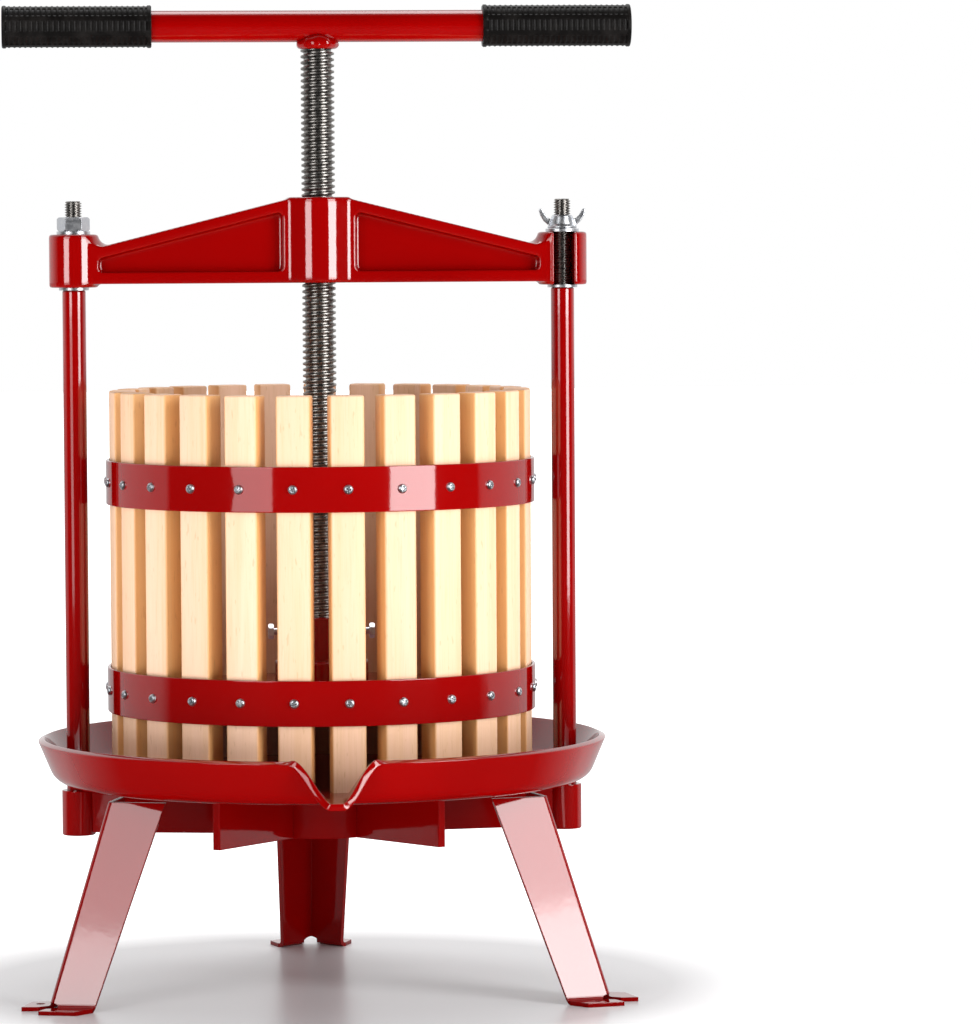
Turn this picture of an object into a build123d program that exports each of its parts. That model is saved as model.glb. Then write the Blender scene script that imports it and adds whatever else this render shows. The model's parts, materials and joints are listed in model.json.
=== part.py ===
from build123d import *
import math
import os

# Basket wine press, millimetres.
# Origin on the floor under the screw axis, +Z up, pouring spout toward -Y, uprights along X.

# ---- driving dimensions: stand -------------------------------------------------------------
FLOOR_TOP = 125.0            # top of the tray floor, where the basket stands
TRAY_FLOOR_THICKNESS = 5.0
TRAY_WALL = 4.0
TRAY_RIM_Z = 150.5
TRAY_RIM_RADIUS = 174.8
TRAY_CORNER_RADIUS = 162.0   # radius where floor and wall lines would meet, before the rounding
TRAY_CORNER_ROUND = 16.0
RIM_ROUND = 1.6

SPOUT_LIP_Y = -187.0         # tip of the pouring lip
SPOUT_RIM_Y = -172.0         # front of the spout at rim height
SPOUT_TOP_HALF = 24.0        # half width of the channel at rim height, inside
SPOUT_BOTTOM_HALF = 8.0
SPOUT_BOTTOM_ROUND = 5.6
SPOUT_START_Y = -120.0

UNDERSIDE = FLOOR_TOP - TRAY_FLOOR_THICKNESS
BASE_BOTTOM = 92.0
BASE_RING_RADIUS = 34.0
BASE_RING_WALL = 5.0
RIB_THICKNESS = 5.0
RIB_REACH = 108.0
RIB_ROUND = 0.8
RIB_ANGLE = 38.0             # from the front, to each side
BAR_BOTTOM = 95.0
BAR_THICKNESS = 12.0
SOCKET_RADIUS = 10.0
SOCKET_BOTTOM = BASE_BOTTOM + 1.0
SOCKET_FLOOR = 3.0
SOCKET_ROUND = 1.0

LEG_SHEET = 2.5
LEG_FOOT_RADIUS = 192.0      # floor distance from the axis to the bend line of a leg
LEG_TOP_RADIUS = 150.0
LEG_TOP_WIDTH = 35.0
LEG_FOOT_WIDTH = 28.0
LEG_BEND = 3.5
LEG_NOTCH_RADIUS = 6.0       # arch cut in the bottom end of the bend line
LEG_NOTCH_HEIGHT = 5.0
FOOT_TAB = 15.0
FOOT_TAB_START = 2.0         # gap between the bend line and the root of a tab
FOOT_TAB_LEAD = 3.0          # how far a tab's outer edge runs ahead of its root
FOOT_TAB_CUT = 6.5           # corner cut off the other end of a tab
FOOT_HEEL = 2.5              # inside radius where a flange turns into its tab
FOOT_HOLE_RADIUS = 2.75
LEG_PLAN_ANGLES = {"leg_front_left": 210.0, "leg_front_right": 330.0, "leg_rear": 90.0}

# ---- driving dimensions: uprights, crossbeam and its fasteners -----------------------------
UPRIGHT_X = 146.5
UPRIGHT_RADIUS = 7.0
SHOULDER_Z = 419.6
STUD_RADIUS = 5.0
STUD_TOP = 472.7
SHOULDER_WASHER = 1.6
BOSS_BOTTOM = SHOULDER_Z + SHOULDER_WASHER
BOSS_HEIGHT = 31.8
BOSS_TOP = BOSS_BOTTOM + BOSS_HEIGHT
BOSS_RADIUS = 14.75
BOSS_BORE = 5.5
SLOT_WIDTH = 12.0
ARM_BOTTOM = 423.3
ARM_HALF_THICKNESS = 12.0
ARM_TOP_AT_HUB = 473.5
ARM_TOP_AT_BOSS = 441.5
HUB_RADIUS = 19.5
HUB_HALF_WIDTH = 18.4
HUB_TOP = 474.5
HUB_EDGE_ROUND = 1.2
ARM_ROOT = 2.0               # how far the end of an arm is buried in the hub
ARM_BLEND = 6.0              # radius of the webs that blend an arm into its boss
POCKET_DEPTH = 7.0
POCKET_CORNER = 2.6
POCKET_FLOOR_ROUND = 1.5
POCKET_HUB_GAP = 3.5
ARM_RIB = 6.9                # flange left above and below a pocket
BOSS_EDGE_ROUND = 1.0
NUT_WASHER = 1.8
NUT_HEIGHT = 8.4
NUT_ACROSS_FLATS = 17.0
WASHER_RADIUS = 10.0
WASHER_HOLE = 5.3
SHOULDER_WASHER_RADIUS = 9.0
END_CHAMFER = 0.8
HEX_CHAMFER_SHARE = 0.13     # cone that cuts a hexagon's corners, as a share of the width across flats
WING_HUB_BASE = 9.2
WING_HUB_TOP = 7.4
WING_HUB_HEIGHT = 9.0
WING_THICKNESS = 3.0
WING_ROUND = 1.2
WING_OUTLINE = [(5.0, 1.0), (12.2, 5.5), (14.2, 11.0), (11.2, 12.4), (6.0, 8.0)]   # (out, up)

# ---- driving dimensions: screw and handle --------------------------------------------------
SCREW_MAJOR_RADIUS = 10.1
RUNNING_CLEARANCE = 0.05
SCREW_STUB_RADIUS = 8.0
SCREW_LIFT = 0.5             # gap between the plate's hub and the first thread
SCREW_THREAD_TOP = 562.5
SCREW_STUB_TOP = 571.5
HANDLE_Z = 576.5
HANDLE_TUBE_RADIUS = 9.5
HANDLE_TUBE_WALL = 2.0
HANDLE_HALF_LENGTH = 188.0
GRIP_RADIUS = 12.75
GRIP_LENGTH = 89.0
GRIP_RIB_DEPTH = 0.9
GRIP_RIB_INSET = 0.25        # how far the ribs stay below the end rims
GRIP_RIB_PITCH = 3.2
GRIP_RIB_SHARES = (0.15, 0.50, 0.65, 1.0)   # groove start, groove end, rib start and rib end within a pitch
GRIP_CAP = 4.0
GRIP_FLANGE = 5.0            # plain rim at each end of a grip
GRIP_END_CHAMFER = 1.5
COLLAR_RADIUS = 12.0
COLLAR_TOP_RADIUS = 14.0
COLLAR_TOP = HANDLE_Z - 6.0

# ---- driving dimensions: press plate -------------------------------------------------------
PLATE_TOP = 180.7
PLATE_THICKNESS = 10.0
PLATE_RADIUS = 106.0
PLATE_FLANGE_RADIUS = 28.0
PLATE_FLANGE_TOP = 197.0
PLATE_HUB_RADIUS = 19.0
PLATE_HUB_TOP = 223.0
PLATE_BOLT_Z = 213.9
PLATE_BOLT_RADIUS = 2.0
PLATE_BOLT_HEAD_OUT = 32.0
PLATE_BOLT_HEAD = 3.2
PLATE_BOLT_ACROSS_FLATS = 8.0
JOURNAL_RADIUS = 8.0
JOURNAL_BOTTOM = 201.0
GROOVE_RADIUS = 6.0
PLATE_BOLT_TIP = 6.4
GROOVE_SLACK = 0.4
JOURNAL_END_GAP = 0.4
PLATE_EDGE_ROUND = 2.0
PLATE_HUB_ROUND = 1.2

# ---- driving dimensions: basket ------------------------------------------------------------
SLAT_COUNT = 25
SLAT_WIDTH = 20.0
SLAT_THICKNESS = 14.5
SLAT_FACE_RADIUS = 126.0
SLAT_BOTTOM = FLOOR_TOP + 0.3
SLAT_HEIGHT = 234.0
SLAT_ROUND = 1.3
BASKET_TURN = 4.7            # the first slat's angle from the front, toward +X
HOOP_INNER = 126.6
HOOP_THICKNESS = 1.9
HOOP_WIDTH = 26.5
HOOP_LEVELS = {"upper": 305.0, "lower": 181.0}
HOOP_SCREW_HEAD = 2.8
HOOP_SCREW_HEAD_HEIGHT = 1.9
HOOP_SCREW_SHANK = 1.4
HOOP_SCREW_LENGTH = 12.0
PILOT_SPARE = 1.0
HOOP_SCREW_HEAD_ROUND = 1.2
HOOP_EDGE_ROUND = 0.4
FREE_GAP = 0.1
CUT_BEYOND = 5.0             # how far a cutting tool reaches past the face that it cuts

SIDES = {"left": -1, "right": 1}


def rod(radius, bottom, top, x=0.0, y=0.0):
    """A plain upright cylinder between two heights."""
    centre = (bottom + top) / 2
    return Pos(x, y, centre) * Cylinder(radius, top - bottom)


def ring(outer, inner, bottom, top, x=0.0, y=0.0):
    """A plain upright ring between two heights."""
    return rod(outer, bottom, top, x, y) - rod(inner, bottom - CUT_BEYOND, top + CUT_BEYOND, x, y)


def hex_prism(across_flats, bottom, top):
    """A hexagon prism with its corners along X, chamfered top and bottom like a nut."""
    corner = across_flats / math.sqrt(3)
    height = top - bottom
    prism = extrude(Plane.XY.offset(bottom) * RegularPolygon(corner, 6), height)
    cut = HEX_CHAMFER_SHARE * across_flats
    upward = (Align.CENTER, Align.CENTER, Align.MIN)
    cone = Cone(corner + height - cut / 2, corner - cut / 2, height, align=upward)
    upper = Pos(0, 0, bottom) * cone
    lower = Pos(0, 0, top) * Rot(180, 0, 0) * cone
    return prism & upper & lower


def tray_section(inset, floor_z, rim_z):
    """Half section of the bowl from the axis to its wall, inset by the sheet thickness."""
    slope = (TRAY_RIM_RADIUS - TRAY_CORNER_RADIUS) / (TRAY_RIM_Z - UNDERSIDE)
    low_radius = TRAY_CORNER_RADIUS + slope * (floor_z - UNDERSIDE) - inset
    high_radius = TRAY_CORNER_RADIUS + slope * (rim_z - UNDERSIDE) - inset
    corners = [(0, floor_z), (low_radius, floor_z), (high_radius, rim_z), (0, rim_z)]
    section = make_face(Plane.XZ * Polyline(*corners, close=True))
    corner = section.vertices().group_by(Axis.Z)[0].sort_by(Axis.X)[-1]
    return fillet(corner, TRAY_CORNER_ROUND - inset)


def spout_channel(grow, floor_z, top_z, front_y):
    """The V-shaped spout, rounded at the bottom, as a straight channel along Y."""
    half_top = SPOUT_TOP_HALF + grow
    half_bottom = SPOUT_BOTTOM_HALF + grow
    corners = [(-half_bottom, floor_z), (half_bottom, floor_z), (half_top, top_z), (-half_top, top_z)]
    face = make_face(Plane.XZ * Polyline(*corners, close=True))
    low = face.vertices().group_by(Axis.Z)[0]
    face = fillet(low, SPOUT_BOTTOM_ROUND + grow)
    length = SPOUT_START_Y - front_y
    return Pos(0, SPOUT_START_Y, 0) * extrude(face, length, dir=(0, -1, 0))


def make_tray():
    """Juice tray: a shallow bowl with a pouring spout, and holes for the uprights."""
    above = TRAY_RIM_Z + CUT_BEYOND
    beyond = SPOUT_LIP_Y - CUT_BEYOND
    hollow = tray_section(TRAY_WALL, FLOOR_TOP, above)
    section = tray_section(0.0, UNDERSIDE, TRAY_RIM_Z) - hollow
    rim = section.vertices().group_by(Axis.Z)[-1]
    bowl = revolve(fillet(rim, RIM_ROUND), Axis.Z)
    beak = spout_channel(TRAY_WALL, UNDERSIDE, TRAY_RIM_Z, beyond)
    front_line = [(beyond, UNDERSIDE), (SPOUT_LIP_Y, UNDERSIDE), (SPOUT_RIM_Y, TRAY_RIM_Z),
                  (SPOUT_RIM_Y, above), (beyond, above)]
    front_face = make_face(Plane.YZ * Polyline(*front_line, close=True))
    front_cut = extrude(front_face, 2 * SPOUT_TOP_HALF, both=True)
    beak = beak - front_cut - revolve(hollow, Axis.Z)
    channel = spout_channel(0.0, FLOOR_TOP, TRAY_RIM_Z, beyond)
    tray = bowl + beak - channel
    for side in SIDES.values():
        tray = tray - rod(UPRIGHT_RADIUS + FREE_GAP, UNDERSIDE - CUT_BEYOND, above, side * UPRIGHT_X)
    return tray


def make_base():
    """Welded frame under the tray: centre ring, two bars, two ribs and two rod sockets."""
    above = UNDERSIDE + CUT_BEYOND
    parts = {}
    inner = BASE_RING_RADIUS - BASE_RING_WALL
    parts["base_ring"] = ring(BASE_RING_RADIUS, inner, BASE_BOTTOM, UNDERSIDE)
    ring_space = rod(BASE_RING_RADIUS, 0, above)
    for name, side in SIDES.items():
        x = side * UPRIGHT_X
        socket = rod(SOCKET_RADIUS, SOCKET_BOTTOM, UNDERSIDE, x)
        socket = fillet(socket.edges().group_by(Axis.Z)[0], SOCKET_ROUND)
        socket = socket - rod(UPRIGHT_RADIUS + RUNNING_CLEARANCE, SOCKET_BOTTOM + SOCKET_FLOOR, above, x)
        bar_low = [(0, BASE_BOTTOM), (UPRIGHT_X, BAR_BOTTOM), (UPRIGHT_X, UNDERSIDE), (0, UNDERSIDE)]
        bar_face = make_face(Plane.XZ * Polyline(*[(side * px, pz) for px, pz in bar_low], close=True))
        bar = extrude(bar_face, BAR_THICKNESS / 2, both=True)
        bar = bar - ring_space - rod(SOCKET_RADIUS, 0, above, x)
        parts["rod_socket_" + name] = socket
        parts["base_bar_" + name] = bar
        rib_height = UNDERSIDE - BASE_BOTTOM
        rib = Box(RIB_THICKNESS, RIB_REACH, rib_height, align=(Align.CENTER, Align.MAX, Align.MIN))
        rib = Pos(0, 0, BASE_BOTTOM) * rib
        rib = fillet(rib.edges().filter_by(Axis.Z).group_by(Axis.Y)[0], RIB_ROUND)
        parts["base_rib_" + name] = Rot(0, 0, side * RIB_ANGLE) * rib - ring_space
    return parts


def leg_directions(hand):
    """Directions along and out of one side of a leg whose bend line lies in the XZ plane."""
    return Vector(-1, hand, 0).normalized(), Vector(1, hand, 0).normalized()


def bent_sheet(hand):
    """A sheet that leans like one side of a leg and turns outward into a flat tab on the floor."""
    out = leg_directions(hand)[1]
    lean = (LEG_FOOT_RADIUS - LEG_TOP_RADIUS) / math.sqrt(2)
    across = LEG_SHEET * math.hypot(lean, UNDERSIDE) / UNDERSIDE
    heel_outside = (-across, 0)
    heel_inside = (-LEG_SHEET * lean / UNDERSIDE, LEG_SHEET)
    corners = [(-lean - across, UNDERSIDE), heel_outside, (FOOT_TAB, 0), (FOOT_TAB, LEG_SHEET), heel_inside,
               (-lean, UNDERSIDE)]
    face = make_face(Polyline(*corners, close=True))
    for corner, radius in ((heel_outside, FOOT_HEEL + LEG_SHEET), (heel_inside, FOOT_HEEL)):
        face = fillet(face.vertices().sort_by_distance(Vector(*corner))[0], radius)
    along_bend = out.cross(Vector(0, 0, 1))
    side_view = Plane(origin=(LEG_FOOT_RADIUS, 0, 0), x_dir=tuple(out), z_dir=tuple(along_bend))
    return extrude(side_view * face, 2 * LEG_TOP_WIDTH, both=True)


def leg_side(hand):
    """One tapering side of a leg with its foot tab, cut from the bent sheet."""
    back, out = leg_directions(hand)
    foot = Vector(LEG_FOOT_RADIUS, 0, 0)
    lean = (LEG_FOOT_RADIUS - LEG_TOP_RADIUS) / math.sqrt(2)
    top = foot + back * lean + Vector(0, 0, UNDERSIDE)
    sheet = bent_sheet(hand)
    side_corners = [top, top + back * LEG_TOP_WIDTH, foot + back * LEG_FOOT_WIDTH, foot]
    side_face = make_face(Polyline(*side_corners, close=True))
    side_reach = lean + LEG_TOP_WIDTH
    side = sheet & extrude(side_face, side_reach, dir=tuple(out * -1.0))
    tab_outline = [(FOOT_TAB_START, 0), (FOOT_TAB_START - FOOT_TAB_LEAD, FOOT_TAB),
                   (LEG_FOOT_WIDTH - FOOT_TAB_CUT, FOOT_TAB), (LEG_FOOT_WIDTH, FOOT_HEEL),
                   (LEG_FOOT_WIDTH, 0)]
    tab_corners = [foot + back * along + out * away for along, away in tab_outline]
    tab = sheet & extrude(make_face(Polyline(*tab_corners, close=True)), FOOT_TAB, dir=(0, 0, 1))
    return side + tab


def make_leg(plan_angle):
    """A bent sheet leg: two sides at a right angle, an arch under the bend and one screw hole."""
    leg = leg_side(1) + leg_side(-1)
    arch = Rot(0, 90, 0) * Cylinder(LEG_NOTCH_RADIUS, 2 * LEG_NOTCH_RADIUS)
    leg = leg - Pos(LEG_FOOT_RADIUS - LEG_BEND, 0, LEG_NOTCH_HEIGHT - LEG_NOTCH_RADIUS) * arch
    bends = leg.edges().filter_by(lambda e: abs(e.center().Y) < 0.01 and e.length > UNDERSIDE / 2)
    leg = fillet(bends.sort_by(Axis.X)[-1], LEG_BEND)
    back, out = leg_directions(-1)
    hole_at = Vector(LEG_FOOT_RADIUS, 0, 0) + back * (LEG_FOOT_WIDTH / 2) + out * (FOOT_TAB / 2)
    leg = leg - rod(FOOT_HOLE_RADIUS, -CUT_BEYOND, CUT_BEYOND, hole_at.X, hole_at.Y)
    return Rot(0, 0, plan_angle) * leg


def make_uprights():
    """Steel uprights with a shoulder and an M10 stud end, and the washers on the shoulders."""
    parts = {}
    washers = []
    for name, side in SIDES.items():
        x = side * UPRIGHT_X
        bottom = SOCKET_BOTTOM + SOCKET_FLOOR + FREE_GAP
        shaft = rod(UPRIGHT_RADIUS, bottom, SHOULDER_Z, x)
        shaft = chamfer(shaft.edges().group_by(Axis.Z)[-1], END_CHAMFER)
        stud = rod(STUD_RADIUS, SHOULDER_Z, STUD_TOP, x)
        stud = chamfer(stud.edges().group_by(Axis.Z)[-1], END_CHAMFER)
        parts["upright_" + name] = shaft + stud
        washers.append(ring(SHOULDER_WASHER_RADIUS, WASHER_HOLE, SHOULDER_Z, BOSS_BOTTOM, x))
    parts["shoulder_washers"] = Compound(children=washers)
    return parts


def arm_top(x):
    """Height of an arm's sloping top line at a distance from the screw axis."""
    slope = (ARM_TOP_AT_HUB - ARM_TOP_AT_BOSS) / (UPRIGHT_X - HUB_HALF_WIDTH)
    return ARM_TOP_AT_HUB - slope * (x - HUB_HALF_WIDTH)


def arm_face(side, inner_x, outer_x, bottom, below_top):
    """Tapering side view of a crossbeam arm, or of a pocket in it."""
    corners = [(inner_x, bottom), (outer_x, bottom), (outer_x, arm_top(outer_x) - below_top),
               (inner_x, arm_top(inner_x) - below_top)]
    return make_face(Plane.XZ * Polyline(*[(side * x, z) for x, z in corners], close=True))


def make_arm():
    """The right arm with its boss, rounded where the two meet."""
    outline = arm_face(1, HUB_HALF_WIDTH - ARM_ROOT, UPRIGHT_X, ARM_BOTTOM, 0)
    arm = extrude(outline, ARM_HALF_THICKNESS, both=True)
    arm = arm + rod(BOSS_RADIUS, BOSS_BOTTOM, BOSS_TOP, UPRIGHT_X)
    root_x = UPRIGHT_X - math.sqrt(BOSS_RADIUS ** 2 - ARM_HALF_THICKNESS ** 2)
    top_x = UPRIGHT_X - BOSS_RADIUS
    upright = arm.edges().filter_by(Axis.Z).filter_by(lambda e: abs(e.center().X - root_x) < FREE_GAP)
    curved = arm.edges().filter_by(GeomType.LINE, reverse=True)
    top_point = Vector(top_x, 0, arm_top(top_x))
    across = curved.filter_by(lambda e: (e.center() - top_point).length < BOSS_EDGE_ROUND)
    arm = fillet(upright + across, ARM_BLEND)
    circles = arm.edges().filter_by(GeomType.CIRCLE)
    return fillet(circles.group_by(Axis.Z)[0] + circles.group_by(Axis.Z)[-1], BOSS_EDGE_ROUND)


def make_pocket(side):
    """The shallow tapering pocket in the front face of one arm."""
    inner_x = HUB_HALF_WIDTH + POCKET_HUB_GAP
    outer_x = UPRIGHT_X - BOSS_RADIUS
    outline = arm_face(side, inner_x, outer_x, ARM_BOTTOM + ARM_RIB, ARM_RIB)
    pocket = extrude(fillet(outline.vertices(), POCKET_CORNER), POCKET_DEPTH, dir=(0, -1, 0))
    pocket = fillet(pocket.faces().sort_by(Axis.Y)[-1].edges(), POCKET_FLOOR_ROUND)
    return Pos(0, POCKET_DEPTH - ARM_HALF_THICKNESS, 0) * pocket


def make_crossbeam():
    """Cast crossbeam: threaded hub, two pocketed arms, a bored boss and a slotted boss."""
    hub_circle = Circle(HUB_RADIUS).edge()
    block = Rectangle(2 * HUB_HALF_WIDTH, 2 * ARM_HALF_THICKNESS).edges()
    hub_plan = make_hull([hub_circle] + list(block))
    beam = extrude(Plane.XY.offset(ARM_BOTTOM) * hub_plan, HUB_TOP - ARM_BOTTOM)
    beam = fillet(beam.edges().filter_by(Plane.XY), HUB_EDGE_ROUND)
    arm = make_arm()
    beam = beam + arm + mirror(arm, Plane.YZ)
    for side in SIDES.values():
        pocket = make_pocket(side)
        beam = beam - pocket - mirror(pocket, Plane.XZ)
    beam = beam - rod(SCREW_MAJOR_RADIUS + RUNNING_CLEARANCE, ARM_BOTTOM - CUT_BEYOND, HUB_TOP + CUT_BEYOND)
    low = BOSS_BOTTOM - CUT_BEYOND
    high = BOSS_TOP + CUT_BEYOND
    beam = beam - rod(BOSS_BORE, low, high, -UPRIGHT_X)
    beam = beam - rod(SLOT_WIDTH / 2, low, high, UPRIGHT_X)
    slot = Box(SLOT_WIDTH, 2 * BOSS_RADIUS, high - low, align=(Align.CENTER, Align.MAX, Align.MIN))
    return beam - Pos(UPRIGHT_X, 0, low) * slot


def make_wing_nut(bottom):
    """M10 wing nut: a conical hub with two upswept wings."""
    upward = (Align.CENTER, Align.CENTER, Align.MIN)
    nut = Pos(0, 0, bottom) * Cone(WING_HUB_BASE, WING_HUB_TOP, WING_HUB_HEIGHT, align=upward)
    for side in SIDES.values():
        outline = [(side * x, bottom + z) for x, z in WING_OUTLINE]
        wing_face = make_face(Plane.XZ * Polyline(*outline, close=True))
        tips = wing_face.vertices().filter_by(lambda v: abs(v.X) > WING_HUB_BASE)
        nut = nut + extrude(fillet(tips, WING_ROUND), WING_THICKNESS / 2, both=True)
    nut = nut - rod(STUD_RADIUS + RUNNING_CLEARANCE, bottom - CUT_BEYOND, bottom + 3 * WING_HUB_HEIGHT)
    return Pos(UPRIGHT_X, 0, 0) * nut


def make_fasteners():
    """Hex nut on the left stud, wing nut on the right stud, each on a flat washer."""
    parts = {}
    washer_top = BOSS_TOP + NUT_WASHER
    parts["nut_washer"] = ring(WASHER_RADIUS, WASHER_HOLE, BOSS_TOP, washer_top, -UPRIGHT_X)
    parts["wing_washer"] = ring(WASHER_RADIUS, WASHER_HOLE, BOSS_TOP, washer_top, UPRIGHT_X)
    nut = hex_prism(NUT_ACROSS_FLATS, washer_top, washer_top + NUT_HEIGHT)
    nut = nut - rod(STUD_RADIUS + RUNNING_CLEARANCE, washer_top - CUT_BEYOND, STUD_TOP)
    parts["hex_nut"] = Pos(-UPRIGHT_X, 0, 0) * nut
    parts["wing_nut"] = make_wing_nut(washer_top)
    return parts


def make_screw():
    """Main screw at its thread's outside diameter, with a journal for the plate and a top stub."""
    thread_bottom = PLATE_HUB_TOP + SCREW_LIFT
    screw = rod(SCREW_MAJOR_RADIUS, thread_bottom, SCREW_THREAD_TOP)
    screw = chamfer(screw.edges().group_by(Axis.Z)[0], END_CHAMFER)
    stub = rod(SCREW_STUB_RADIUS, SCREW_THREAD_TOP, SCREW_STUB_TOP)
    journal = rod(JOURNAL_RADIUS, JOURNAL_BOTTOM, thread_bottom)
    half = PLATE_BOLT_RADIUS + GROOVE_SLACK
    groove = ring(SCREW_MAJOR_RADIUS, GROOVE_RADIUS, PLATE_BOLT_Z - half, PLATE_BOLT_Z + half)
    return screw + stub + journal - groove


def grip_profile():
    """Half section of a ribbed grip as (distance from the screw axis, radius) points."""
    start = HANDLE_HALF_LENGTH - GRIP_LENGTH
    ribbed = GRIP_LENGTH - 2 * GRIP_FLANGE
    ribs = int(ribbed / GRIP_RIB_PITCH)
    pitch = ribbed / ribs
    low = GRIP_RADIUS - GRIP_RIB_DEPTH
    high = GRIP_RADIUS - GRIP_RIB_INSET
    profile = [(start, HANDLE_TUBE_RADIUS), (start, GRIP_RADIUS), (start + GRIP_FLANGE, GRIP_RADIUS)]
    for index in range(ribs):
        x = start + GRIP_FLANGE + index * pitch
        places = [x + share * pitch for share in GRIP_RIB_SHARES]
        profile += list(zip(places, (low, low, high, high)))
    end = HANDLE_HALF_LENGTH
    profile += [(end - GRIP_END_CHAMFER, GRIP_RADIUS), (end, GRIP_RADIUS - GRIP_END_CHAMFER), (end, 0)]
    return profile + [(end - GRIP_CAP, 0), (end - GRIP_CAP, HANDLE_TUBE_RADIUS)]


def make_handle():
    """Cross handle: steel tube, weld collar and two ribbed rubber grips."""
    parts = {}
    tube_half = HANDLE_HALF_LENGTH - GRIP_CAP
    outer = Pos(0, 0, HANDLE_Z) * extrude(Plane.YZ * Circle(HANDLE_TUBE_RADIUS), tube_half, both=True)
    inner = extrude(Plane.YZ * Circle(HANDLE_TUBE_RADIUS - HANDLE_TUBE_WALL), tube_half, both=True)
    stub_hole = rod(SCREW_STUB_RADIUS, SCREW_THREAD_TOP, HANDLE_Z)
    parts["handle_tube"] = outer - Pos(0, 0, HANDLE_Z) * inner - stub_hole
    upward = (Align.CENTER, Align.CENTER, Align.MIN)
    collar = Cone(COLLAR_RADIUS, COLLAR_TOP_RADIUS, COLLAR_TOP - SCREW_THREAD_TOP, align=upward)
    parts["handle_collar"] = Pos(0, 0, SCREW_THREAD_TOP) * collar - outer - stub_hole
    for name, side in SIDES.items():
        face = make_face(Plane.XZ * Polyline(*[(side * x, r) for x, r in grip_profile()], close=True))
        parts["grip_" + name] = Pos(0, 0, HANDLE_Z) * revolve(face, Axis.X)
    return parts


def make_press_plate():
    """Cast press plate with a stepped hub, bored for the screw journal and its two bolts."""
    plate = rod(PLATE_RADIUS, PLATE_TOP - PLATE_THICKNESS, PLATE_TOP)
    plate = fillet(plate.edges().filter_by(GeomType.CIRCLE), PLATE_EDGE_ROUND)
    flange = rod(PLATE_FLANGE_RADIUS, PLATE_TOP - PLATE_THICKNESS / 2, PLATE_FLANGE_TOP)
    flange = fillet(flange.edges().group_by(Axis.Z)[-1], PLATE_EDGE_ROUND)
    hub = rod(PLATE_HUB_RADIUS, PLATE_TOP - PLATE_THICKNESS / 2, PLATE_HUB_TOP)
    hub = fillet(hub.edges().group_by(Axis.Z)[-1], PLATE_HUB_ROUND)
    bore_bottom = JOURNAL_BOTTOM - JOURNAL_END_GAP
    bore = rod(JOURNAL_RADIUS + RUNNING_CLEARANCE, bore_bottom, PLATE_HUB_TOP + CUT_BEYOND)
    plate = plate + flange + hub - bore
    bolt_hole = Circle(PLATE_BOLT_RADIUS + RUNNING_CLEARANCE)
    cross_hole = extrude(Plane.YZ * bolt_hole, PLATE_BOLT_HEAD_OUT, both=True)
    return plate - Pos(0, 0, PLATE_BOLT_Z) * cross_hole


def make_plate_bolts():
    """Two hex-head bolts through the plate hub, their tips in the screw's groove."""
    bolts = []
    for side in SIDES.values():
        head_back = PLATE_BOLT_HEAD_OUT - PLATE_BOLT_HEAD
        head = hex_prism(PLATE_BOLT_ACROSS_FLATS, head_back, PLATE_BOLT_HEAD_OUT)
        shank = rod(PLATE_BOLT_RADIUS, PLATE_BOLT_TIP, head_back)
        bolt = Rot(0, side * 90, 0) * (head + shank)
        bolts.append(Pos(0, 0, PLATE_BOLT_Z) * bolt)
    return Compound(children=bolts)


def slat_places():
    """Turn of each slat about the axis, the first one just right of the spout."""
    return [BASKET_TURN + index * 360.0 / SLAT_COUNT for index in range(SLAT_COUNT)]


def make_slat(turn):
    """One beech slat with rounded edges and a pilot hole for each hoop screw."""
    slat = Box(SLAT_WIDTH, SLAT_THICKNESS, SLAT_HEIGHT, align=(Align.CENTER, Align.MIN, Align.MIN))
    slat = fillet(slat.edges(), SLAT_ROUND)
    slat = Pos(0, -SLAT_FACE_RADIUS, SLAT_BOTTOM) * slat
    for level in HOOP_LEVELS.values():
        pilot = Plane.XZ * Circle(HOOP_SCREW_SHANK + FREE_GAP)
        depth = HOOP_SCREW_LENGTH + PILOT_SPARE
        slat = slat - Pos(0, -HOOP_INNER, level) * extrude(pilot, depth, dir=(0, 1, 0))
    return Rot(0, 0, turn) * slat


def make_hoop(level):
    """One flat steel hoop with a screw hole over each slat."""
    half = HOOP_WIDTH / 2
    hoop = ring(HOOP_INNER + HOOP_THICKNESS, HOOP_INNER, level - half, level + half)
    hoop = fillet(hoop.edges().filter_by(GeomType.CIRCLE), HOOP_EDGE_ROUND)
    for turn in slat_places():
        hole_circle = Plane.XZ * Circle(HOOP_SCREW_SHANK + FREE_GAP)
        hole = extrude(hole_circle, HOOP_INNER + CUT_BEYOND, dir=(0, -1, 0))
        hoop = hoop - Rot(0, 0, turn) * Pos(0, 0, level) * hole
    return hoop


def make_hoop_screws(level):
    """The pan-head screws of one hoop."""
    seat = HOOP_INNER + HOOP_THICKNESS
    shank = rod(HOOP_SCREW_SHANK, -HOOP_SCREW_LENGTH, 0)
    head = rod(HOOP_SCREW_HEAD, 0, HOOP_SCREW_HEAD_HEIGHT)
    head = fillet(head.edges().group_by(Axis.Z)[-1], HOOP_SCREW_HEAD_ROUND)
    screw = Pos(0, -seat, level) * Rot(90, 0, 0) * (head + shank)
    return Compound(children=[Rot(0, 0, turn) * screw for turn in slat_places()])


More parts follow.
